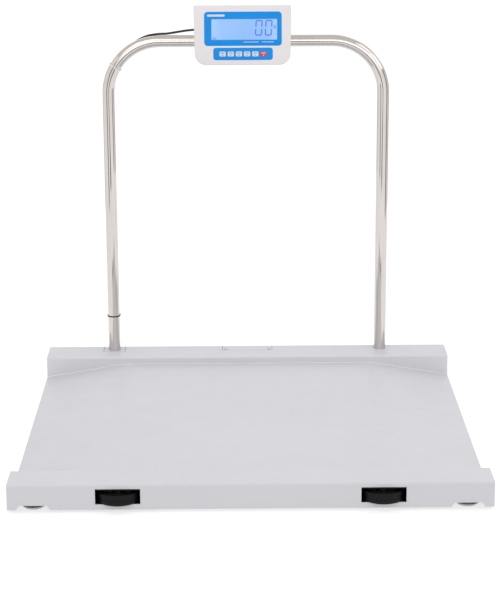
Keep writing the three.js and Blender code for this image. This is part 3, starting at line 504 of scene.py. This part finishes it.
def tie_loop(offset, count=40):
    """A strap's outline round the rail and the cable behind it."""
    big, small = RAIL_RADIUS + offset, CABLE_RADIUS + offset
    lean = math.acos((big - small) / CABLE_OFFSET)
    points = []
    for i in range(count + 1):
        angle = PI / 2 + lean + (2 * PI - 2 * lean) * i / count
        points.append((big * math.cos(angle), big * math.sin(angle)))
    for i in range(1, 12):
        angle = PI / 2 - lean + 2 * lean * i / 12
        points.append((small * math.cos(angle), CABLE_OFFSET + small * math.sin(angle)))
    return points


def make_tie(name, node, place, material, tilt=0.0):
    """A cable tie pulled round rail and cable, with its locking head behind."""
    inner, outer, half, soft = 0.0007, 0.0021, 0.00145, 0.0004
    bm = bmesh.new()
    rings = []
    for offset, height in ((inner, -half + soft), (inner, half - soft), (inner + soft, half),
                           (outer - soft, half), (outer, half - soft), (outer, -half + soft),
                           (outer - soft, -half), (inner + soft, -half)):
        rings.append(ring_of(bm, [(x, y, height) for x, y in tie_loop(offset)]))
    skin(bm, rings + rings[:1])
    head = bmesh.ops.create_cube(bm, size=1)["verts"]
    bmesh.ops.scale(bm, vec=(0.0052, 0.004, 0.0046), verts=head)
    bmesh.ops.translate(bm, vec=(0.0145, 0.0135, 0), verts=head)
    bmesh.ops.bevel(bm, geom=[e for e in bm.edges if all(v in head for v in e.verts)], offset=0.0006,
                    segments=2, affect="EDGES")
    where = Matrix.Translation(place) @ Matrix.Rotation(tilt, 4, "Y")
    finished(bm, name, material, where, stands_for=(node,))


# ---------------------------------------------------------------- platform
def make_deck(material):
    """The bent sheet: flat middle, two ramps, and soft folds between them."""
    low, high = (Vector(corner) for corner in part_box("deck_plate"))
    fold = [DECK_FLAT - DECK_CREASE + 2 * DECK_CREASE * i / 16 for i in range(17)]
    right = [0.08, 0.16, 0.24, *fold, 0.40, 0.45, 0.50, high.x]
    across = [-x for x in reversed(right)] + [0] + right
    bm = bmesh.new()
    upper = [(x, deck_height(x)) for x in across]
    lower = [(x, deck_height(x) - SHEET) for x in reversed(across)]
    edge = 0.0008
    rings = [ring_of(bm, [(x, y, z) for x, z in upper + lower])
             for y in (low.y, low.y + edge, -0.2, 0.0, 0.2, high.y - edge, high.y)]
    skin(bm, rings)
    count = len(across)
    for ring in (rings[0], rings[-1]):
        for i in range(count - 1):
            bm.faces.new((ring[i], ring[i + 1], ring[2 * count - 2 - i], ring[2 * count - 1 - i]))
    finished(bm, "deck_sheet", material, stands_for=("deck_plate",))


def deck_height(x):
    """The deck's top surface at a distance from its middle."""
    low, high = (Vector(corner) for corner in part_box("deck_plate"))
    slope = (high.z - low.z - SHEET) / (high.x - DECK_FLAT)
    x = abs(x)
    if x <= DECK_FLAT - DECK_CREASE:
        return high.z
    if x >= DECK_FLAT + DECK_CREASE:
        return high.z - slope * (x - DECK_FLAT)
    t = (x - DECK_FLAT + DECK_CREASE) / (2 * DECK_CREASE)
    return high.z - slope * DECK_CREASE * t * t


def make_seam_beads(material):
    """The painted fillet where the deck meets each beam; its paint, paler than the enamel, is a painted
    highlight along each joint.
    """
    low, high = (Vector(corner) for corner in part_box("deck_plate"))
    size, steps = 0.0022, 110
    for name, wall, way in (("front", low.y - 0.0002, 1), ("rear", high.y + 0.0002, -1)):
        bm = bmesh.new()
        rings = []
        for i in range(steps + 1):
            x = low.x + 0.0005 + (high.x - low.x - 0.001) * i / steps
            z = deck_height(x) + 0.0001
            bow = [(size * (1 - math.sin(a)), size * (1 - math.cos(a)))
                   for a in (math.radians(90 * k / 4) for k in range(5))]
            rings.append(ring_of(bm, [(x, wall, z), *[(x, wall + way * y, z + h) for y, h in bow]]))
        skin(bm, rings)
        bm.faces.new(rings[0])
        bm.faces.new(list(reversed(rings[-1])))
        finished(bm, f"seam_bead_{name}", material)


def make_cover_gap_shades(material):
    """Dark strips in the gaps round the two access covers: painted shade for the shadow down each gap."""
    width, proud, sunk, gap = 0.0011, 0.00008, 0.0005, 0.0003
    for name, node in (("junction", "junction_cover"), ("cable", "cable_cover")):
        low, high = (Vector(corner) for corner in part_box(node))
        x0, x1, y0, y1 = low.x - gap / 2, high.x + gap / 2, low.y - gap / 2, high.y - 0.003
        bm = bmesh.new()
        for a0, a1, b0, b1 in ((x0 - width / 2, x0 + width / 2, y0, y1),
                               (x1 - width / 2, x1 + width / 2, y0, y1),
                               (x0, x1, y0 - width / 4, y0 + width / 4)):
            corners = ((a0, b0), (a1, b0), (a1, b1), (a0, b1))
            bottom = ring_of(bm, [(x, y, high.z - sunk) for x, y in corners])
            top = ring_of(bm, [(x, y, high.z + proud) for x, y in corners])
            skin(bm, [bottom, top])
            bm.faces.new(top)
            bm.faces.new(list(reversed(bottom)))
        finished(bm, f"cover_gap_shade_{name}", material)


def make_foot(corner, plate, dark, rubber):
    """A levelling foot: rubber pad, domed disc, hexagon, and a threaded stud."""
    low, high = (Vector(c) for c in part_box(f"levelling_foot_{corner}"))
    centre = (low + high) / 2
    radius = (high.x - low.x) / 2
    body = f"foot_{corner}"
    bm = bmesh.new()
    revolve(bm, [(0, 0.0022), (radius - 0.0035, 0.0022), (radius - 0.001, 0.0024), (radius, 0.0034),
                 (radius, 0.0052), (radius - 0.0012, 0.0068), (radius - 0.005, 0.0093),
                 (radius - 0.010, 0.0112), (0.0135, 0.0124), (0.0125, 0.0130), (0, 0.0130)], centre)
    finished(bm, f"foot_disc_{corner}", plate, body=body, stands_for=(f"levelling_foot_{corner}",))
    bm = bmesh.new()
    revolve(bm, [(0, 0), (radius - 0.0055, 0), (radius - 0.0035, 0.0007),
                 (radius - 0.0032, 0.0021), (0, 0.0021)], centre)
    finished(bm, f"foot_pad_{corner}", rubber, body=body)
    bm = bmesh.new()
    revolve(bm, [(0, 0.0131), (0.0098, 0.0131), (0.0110, 0.0137), (0.0110, 0.0186), (0.0098, 0.0192),
                 (0, 0.0192)], centre, 6)
    finished(bm, f"foot_hexagon_{corner}", plate, body=body, sharp=20)
    pitch, root, crest, thread_low = 0.00175, 0.0050, 0.0059, 0.0193
    profile = [(0, thread_low)]
    for turn in range(22):
        start = thread_low + turn * pitch
        profile += [(root, start), (crest, start + pitch * 0.4), (crest, start + pitch * 0.6)]
    profile += [(root, 0.0578), (0, 0.0580)]
    bm = bmesh.new()
    revolve(bm, profile, centre, 32)
    finished(bm, f"foot_stud_{corner}", dark, body=body)


def make_wheel(side, rubber, plastic):
    """A transport wheel: grooved tyre, webbed hub, and the hub's ribs."""
    low, high = (Vector(c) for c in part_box(f"wheel_tyre_{side}"))
    centre = (low + high) / 2
    radius, bore, bevel = (high.x - low.x) / 2, 0.037, 0.0032
    body = f"wheel_{side}"
    half = []
    for i in range(7):
        angle = math.radians(90 * i / 6)
        half.append((radius - bevel + bevel * math.sin(angle), high.z - bevel + bevel * math.cos(angle)))
    profile = [(bore, high.z - 0.002), (bore + 0.002, high.z), *half]
    floor = radius - 0.0009
    groove = [(radius, centre.z + 0.0035), (floor, centre.z + 0.0028), (floor, centre.z - 0.0028),
              (radius, centre.z - 0.0035)]
    mirrored = [(r, 2 * centre.z - z) for r, z in reversed(profile)]
    bm = bmesh.new()
    revolve(bm, profile + groove + mirrored + profile[:1], centre, 96)
    finished(bm, f"tyre_{side}", rubber, body=body, stands_for=(f"wheel_tyre_{side}",))
    bm = bmesh.new()
    rim, hole = bore - 0.0003, 0.00635
    top, web = high.z - 0.001, 0.007
    upper = [(hole, top + 0.002), (0.0132, top + 0.002), (0.014, top + 0.0012), (0.014, top - web + 0.001),
             (0.0155, top - web), (rim - 0.0055, top - web), (rim - 0.004, top - web + 0.001),
             (rim - 0.004, top - 0.0006), (rim - 0.0034, top), (rim, top)]
    lower = [(r, 2 * centre.z - z) for r, z in reversed(upper)]
    revolve(bm, upper + lower + upper[:1], centre, 72)
    finished(bm, f"hub_{side}", plastic, body=body, stands_for=(f"wheel_hub_{side}",))
    bm = bmesh.new()
    for spoke in range(6):
        angle = 2 * PI * spoke / 6
        for level in (top - web + 0.002, 2 * centre.z - top + web - 0.002):
            bar = bmesh.ops.create_cube(bm, size=1)["verts"]
            bmesh.ops.scale(bm, vec=(0.0175, 0.003, 0.006), verts=bar)
            bmesh.ops.translate(bm, vec=(0.0235, 0, 0), verts=bar)
            bmesh.ops.rotate(bm, verts=bar, cent=(0, 0, 0), matrix=Matrix.Rotation(angle, 3, "Z"))
            bmesh.ops.translate(bm, vec=(centre.x, centre.y, level), verts=bar)
    bmesh.ops.bevel(bm, geom=list(bm.edges), offset=0.0005, segments=1, affect="EDGES")
    finished(bm, f"hub_ribs_{side}", plastic, body=body)


def make_cover_screw(side, steel):
    """A pan-head screw with a round recess."""
    low, high = (Vector(c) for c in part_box(f"cover_screw_{side}"))
    centre = (low + high) / 2
    top = high.z
    bm = bmesh.new()
    revolve(bm, [(0, low.z), (0.0019, low.z), (0.0019, top - 0.0023), (0.0045, top - 0.0023),
                 (0.0045, top - 0.0018), (0.0040, top - 0.0008), (0.0028, top - 0.0002), (0.0014, top),
                 (0.0011, top - 0.0009), (0, top - 0.0012)], centre, 32)
    finished(bm, f"pan_screw_{side}", steel, stands_for=(f"cover_screw_{side}",))


# ---------------------------------------------------------------- indicator
def housing_outline(inset):
    """The housing's face: small corners above, large ones below, its sides drawn in towards the bottom."""
    top, half = HOUSING_HEIGHT / 2 - inset, HOUSING_WIDTH / 2 - inset
    low = half - HOUSING_TAPER
    big, small = HOUSING_CORNER - inset, max(4.5 - inset, 0.6)
    return (arc((-low + big, -top + big), big, 180, 270, 14)
            + arc((low - big, -top + big), big, 270, 360, 14)
            + arc((half - small, top - small), small, 0, 90, 5)
            + arc((-half + small, top - small), small, 90, 180, 5))


def shell(name, material, levels, holes, stands_for):
    """A hollow half of the housing: rings of the outline from its outer face round to its inner face."""
    bm = bmesh.new()
    rings = [ring_of(bm, [(x, y, z) for x, z in housing_outline(inset)]) for inset, y in levels]
    skin(bm, rings)
    first, last = levels[0][1], levels[-1][1]
    outside = [ring_of(bm, [(x, first, z) for x, z in hole]) for hole in holes]
    inside = [ring_of(bm, [(x, last, z) for x, z in hole]) for hole in holes]
    for near, far in zip(outside, inside):
        skin(bm, [near, far])
    fill(bm, rings[0], *outside)
    fill(bm, rings[-1], *inside)
    finished(bm, name, material, INDICATOR_FRAME, body="indicator", stands_for=(stands_for,), sharp=40)


def key_outline(i, margin=0.0, radius=2.2):
    x = KEY_FIRST + i * KEY_PITCH
    return rounded(x - KEY_WIDTH / 2 - margin, x + KEY_WIDTH / 2 + margin,
                   KEY_Z - KEY_HEIGHT / 2 - margin, KEY_Z + KEY_HEIGHT / 2 + margin, radius)


def panel_outline(panel, margin, radius, count=8):
    return rounded(panel["x0"] - margin, panel["x1"] + margin, panel["z0"] - margin, panel["z1"] + margin,
                   radius, count)


def make_housing(material):
    wall, depth, split = HOUSING_WALL, HOUSING_DEPTH, HOUSING_SPLIT
    front = [(2.6, 0), (1.5, 0.25), (0.7, 0.8), (0.2, 1.7), (0, 2.8), (0, split - 0.3), (0.4, split),
             (wall, split), (wall, wall)]
    holes = [panel_outline(LCD, 0, 1.2), *[key_outline(i, 0.5) for i in range(6)]]
    shell("front_shell", material, front, holes, "housing_front")
    start = split + 0.3
    rear = [(3.4, depth), (1.8, depth - 0.3), (0.7, depth - 1.2), (0.1, depth - 2.6), (0, depth - 4),
            (0, start + 0.3), (0.4, start), (wall, start), (wall, depth - wall)]
    openings = [rounded(DOOR["x0"], DOOR["x1"], DOOR["z0"], DOOR["z1"], 2), circle(GLAND_X, GLAND_Z, 5.3),
                circle(GLAND_X, GLAND_Z - INLET_DROP, 4.3)]
    shell("rear_shell", material, rear, openings, "housing_rear")


def make_panels(blue, white):
    """The two printed overlays, raised a hair above the face so that they read as separate films."""
    bm = bmesh.new()
    prism(bm, panel_outline(DISPLAY, 0, 9), -0.3, 0.9, 0.25, [panel_outline(LCD, 0, 1.2)])
    finished(bm, "display_overlay", blue, INDICATOR_FRAME, "indicator", ("display_panel",))
    bm = bmesh.new()
    prism(bm, panel_outline(KEYPAD, 0, 7), -0.3, 0.9, 0.25, [key_outline(i, 0.3) for i in range(6)])
    finished(bm, "keypad_overlay", blue, INDICATOR_FRAME, "indicator", ("keypad_panel",))
    bm = bmesh.new()
    top = DISPLAY["z1"]
    prism(bm, rounded(DISPLAY["x0"] + 8, DISPLAY["x0"] + 54, top - 12.5, top - 7, 2.5), -0.4, -0.25)
    finished(bm, "plain_badge_strip", white, INDICATOR_FRAME, "indicator")
    bm = bmesh.new()
    for x0, x1 in ((2, 42), (50, 82)):
        prism(bm, rounded(x0, x1, LCD["z0"] - 6, LCD["z0"] - 4.6, 0.6), -0.36, -0.25)
    finished(bm, "plain_rule_marks", white, INDICATOR_FRAME, "indicator")


def make_keys(white, red, blue):
    for i in range(6):
        last = i == 5
        body = f"key_{i + 1}_body"
        bm = bmesh.new()
        prism(bm, key_outline(i), -0.8, 5, 0.5)
        finished(bm, f"key_cap_{i + 1}", red if last else white, INDICATOR_FRAME, body, (f"key_{i + 1}",))
        x = KEY_FIRST + i * KEY_PITCH
        bm = bmesh.new()
        prism(bm, rounded(x - 5, x + 5, KEY_Z + 1.4, KEY_Z + 3.4, 0.6), -0.9, -0.75)
        prism(bm, [(x - 2.4, KEY_Z - 2.2), (x, KEY_Z - 5), (x + 2.4, KEY_Z - 2.2)], -0.9, -0.75)
        finished(bm, f"key_mark_{i + 1}", white if last else blue, INDICATOR_FRAME, body)


def segment(bm, start, end, width, y0, y1):
    """One bar of a digit, with pointed ends."""
    ahead = (Vector(end) - Vector(start)).normalized()
    side = Vector((-ahead.y, ahead.x)) * width / 2
    a, b = Vector(start), Vector(end)
    tip = ahead * width / 2
    outline = [a - tip * 0.9, a + side, b + side, b + tip * 0.9, b - side, a - side]
    prism(bm, [tuple(p) for p in outline], y0, y1)


def make_display(glass, ink, faint):
    bm = bmesh.new()
    prism(bm, panel_outline(LCD, -0.3, 1.0), 0.95, 3.0, 0.0)
    finished(bm, "display_window", glass, INDICATOR_FRAME, "indicator", ("lcd_module",))
    width, height, slant, bar, gap, waist = 15.4, 37.5, 0.07, 3.5, 1.7, 3.6
    base = LCD["z1"] - 4.8 - height
    bm = bmesh.new()
    for left in (33.5, 59.2):
        def at(x, z):
            return (left + x + slant * z, base + z)
        middle = height / 2
        for start, end in (((gap, 0), (width - gap, 0)), ((gap, height), (width - gap, height)),
                           ((0, gap), (0, middle - waist)), ((0, middle + waist), (0, height - gap)),
                           ((width, gap), (width, middle - waist)),
                           ((width, middle + waist), (width, height - gap))):
            segment(bm, at(*start), at(*end), bar, 0.85, 0.94)
    finished(bm, "display_digits", ink, INDICATOR_FRAME, "indicator")
    bm = bmesh.new()
    for x, z, w, h in ((-78, -11, 9.5, 6), (80, 17, 8.5, 8.5)):
        prism(bm, rounded(x, x + w, z, z + h, 0.8), 0.85, 0.94)
    finished(bm, "display_flags", faint, INDICATOR_FRAME, "indicator")


def make_indicator_back(plastic, steel, pale):
    """Screws in the rear shell and the lug plate, and a plain rating plate."""
    bm = bmesh.new()
    depth = HOUSING_DEPTH
    spots = [(x, z) for x in (-112, 112) for z in (-62, 66)]
    spots += [(x, z) for x in (-26, 26) for z in (-28, 8)]
    for x, z in spots:
        raised = 3.0 if abs(x) < 30 else 0.0
        rings = [ring_of(bm, [(px, y + raised, pz) for px, pz in circle(x, z, radius, 20)])
                 for radius, y in ((3.2, depth + 0.02), (3.2, depth + 0.9), (2.5, depth + 1.5),
                                   (1.2, depth + 1.6), (0.9, depth + 0.8))]
        skin(bm, rings)
        bm.faces.new(rings[-1])
        bm.faces.new(rings[0])
    finished(bm, "rear_screws", steel, INDICATOR_FRAME, "indicator")
    bm = bmesh.new()
    prism(bm, rounded(-84, -44, 34, 60, 2), depth + 0.02, depth + 0.25)
    finished(bm, "plain_rating_plate", pale, INDICATOR_FRAME, "indicator")


# ---------------------------------------------------------------- assembly
def paint(material, *nodes):
    for node in nodes:
        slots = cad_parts[node].data.materials
        if len(slots) == 0:
            slots.append(material)
        for i in range(len(slots)):
            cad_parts[node].material_slots[i].link = "OBJECT"
            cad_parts[node].material_slots[i].material = material


def make_object():
    coat, chrome, plate, dark = enamel(), polished_steel(), plated_steel(), dark_plate()
    rubber, plastic, metal = tyre_rubber(), black_plastic(), aluminium()
    board, case = circuit_green(), housing_plastic()
    painted_steel = coated("painted_screw", tone(184, 184, 189), 0.4, spread=0.02, cloud=30, grain=900)
    blue = overlay("panel_blue", tone(10, 133, 213))
    white = printed("print_white", tone(198, 203, 214))
    red = printed("key_red", tone(196, 66, 80))
    ink = printed("display_ink", tone(88, 120, 214), 0.3)
    faint = printed("display_faint", tone(118, 158, 228), 0.3)

    make_handrail(chrome)
    make_cable(cable_sheath())
    make_tie("tie_black", "cable_tie_post", Vector((-POST_X, POST_Y, 0.164)), plastic)
    make_tie("tie_clear", "cable_tie_bend", bend_point(31), clear_nylon(), math.radians(31))
    make_deck(coat)
    # The seam beads' paler paint is a painted highlight along the deck's joints with the beams.
    make_seam_beads(coated("seam_paint_painted_highlight", tone(212, 213, 217), 0.38, spread=0.015, cloud=8, grain=500))
    # The dark strips round the access covers are painted shade in the cover gaps.
    make_cover_gap_shades(coated("gap_shade_paint", tone(92, 92, 96), 0.7, spread=0.1, cloud=40, grain=900))
    for corner in CORNERS:
        make_foot(corner, plate, dark, rubber)
    for side, _ in SIDES:
        make_wheel(side, rubber, plastic)
        make_cover_screw(side, painted_steel)
    make_housing(case)
    make_panels(blue, white)
    make_keys(white, red, blue)
    make_display(display_glass(), ink, faint)
    make_indicator_back(plastic, plate, metal)

    paint(coat, "front_beam", "rear_beam", "junction_cover", "cable_cover")
    paint(coat, *[f"deck_rib_{place}" for place in ("left", "centre", "right")])
    paint(metal, "clamp_front", "clamp_rear", *[f"load_cell_{corner}" for corner in CORNERS])
    paint(plate, "clamp_bolt_upper", "clamp_bolt_lower", "tilt_pin", "tilt_lug")
    paint(plastic, "tilt_knob", "cable_gland", "power_inlet", "junction_box")
    paint(board, "junction_board", "circuit_board")
    paint(printed("battery_wrap", tone(58, 64, 78)), "battery_pack")
    paint(case, "battery_door")
    for side, _ in SIDES:
        # The brackets' near-black keeps the inside of each beam window dark round the wheel.
        paint(wheel_bracket_black(), f"wheel_bracket_{side}")
        paint(plate, f"wheel_axle_{side}", f"post_socket_{side}")


# ---------------------------------------------------------------- studio
def pane(name, size, centre, facing, material, camera=True, diffuse=True):
    """A flat stage panel that looks along facing."""
    bm = bmesh.new()
    bmesh.ops.create_grid(bm, x_segments=1, y_segments=1, size=0.5)
    mesh = bpy.data.meshes.new(name)
    bm.to_mesh(mesh)
    bm.free()
    mesh.materials.append(material)
    piece = bpy.data.objects.new(name, mesh)
    turn = Vector(facing).to_track_quat("Z", "Y").to_matrix().to_4x4()
    piece.matrix_world = Matrix.Translation(centre) @ turn @ Matrix.Diagonal((*size, 1, 1))
    piece.visible_camera = camera
    piece.visible_diffuse = diffuse
    bpy.context.scene.collection.objects.link(piece)
    return piece


def reflected_card(name, colour, size, centre, facing):
    """A card that only shows in polished metal."""
    g = Graph(name)
    cloud = g.ramp(g.noise(2, 2), [(0.3, scaled(colour, 0.97)), (0.7, (*colour, 1))])
    g.link(cloud, g.shader.inputs["Emission Color"])
    g.shader.inputs["Emission Strength"].default_value = 1.0
    g.shader.inputs["Base Color"].default_value = (0, 0, 0, 1)
    card = pane(name, size, centre, facing, g.material, camera=False, diffuse=False)
    card.visible_transmission = False
    card.visible_shadow = False


def area(name, centre, target, size, power, colour=(1, 1, 1)):
    data = bpy.data.lights.new(name, "AREA")
    data.shape = "RECTANGLE"
    data.size, data.size_y = size
    data.energy = power
    data.color = colour
    light = bpy.data.objects.new(name, data)
    aim = (Vector(target) - Vector(centre)).to_track_quat("-Z", "Y").to_matrix().to_4x4()
    light.matrix_world = Matrix.Translation(centre) @ aim
    bpy.context.scene.collection.objects.link(light)
    return light


def make_studio():
    world = bpy.data.worlds.new("studio")
    world.use_nodes = True
    background = world.node_tree.nodes["Background"]
    background.inputs["Color"].default_value = (1, 1, 1, 1)
    background.inputs["Strength"].default_value = 1.0
    bpy.context.scene.world = world
    bpy.context.scene.view_settings.view_transform = "Standard"
    floor = coated("floor_paper", tone(150, 150, 150), 0.9, spread=0.004, cloud=2, grain=200)
    glow = floor.node_tree.nodes["Principled BSDF"]
    glow.inputs["Emission Color"].default_value = (1, 1, 1, 1)
    glow.inputs["Emission Strength"].default_value = 0.72
    pane("floor", (60, 60), (0, 0, -0.0005), (0, 0, 1), floor)
    for name, colour, size, centre, facing in (
            ("card_streak", (1.9, 1.9, 1.9), (9, 2.3), (0, -6, 2.15), (0, 1, 0)),
            ("card_canopy", (0.74, 0.71, 0.69), (9, 9), (0, 0.5, 3.6), (0, 0, -1)),
            ("card_path", (0.08, 0.07, 0.07), (0.9, 5.6), (0, -4.7, 0.0004), (0, 0, 1)),
            ("card_front_left", (0.40, 0.37, 0.36), (0.8, 1.4), (-1.5, -1.3, 0.7), (1.5, 1.8, 0)),
            ("card_right", (0.34, 0.33, 0.33), (1.0, 1.4), (2.3, 0.1, 0.7), (-1, 0.2, 0)),
            ("card_rear_right", (0.50, 0.46, 0.46), (1.4, 1.4), (1.9, 2.0, 0.7), (-1.9, -1.5, 0)),
            ("card_rear_left", (0.60, 0.58, 0.60), (1.2, 1.4), (-1.7, 2.2, 0.7), (1.7, -1.7, 0))):
        reflected_card(name, colour, size, centre, facing)
    area("key", (-1.2, -1.6, 3.2), (0, 0, 0.2), (2.6, 2.2), 17)
    area("fill", (2.4, -0.4, 2.2), (0.1, 0, 0.2), (2.0, 2.0), 9)
    area("back", (0.2, 3.0, 2.6), (0, 0.2, 0.3), (3.0, 1.6), 7)
    rear_fill = area("rear_fill", (0, -2.6, 0.25), (0, 0.44, 0.05), (2.2, 0.4), 15)
    rear_fill.visible_camera = False
    rear_fill.visible_glossy = False
    lit = bpy.data.collections.new("rear_fill_lights")
    lit.objects.link(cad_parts["rear_beam"])
    rear_fill.light_linking.receiver_collection = lit


make_camera()
make_studio()
make_object()
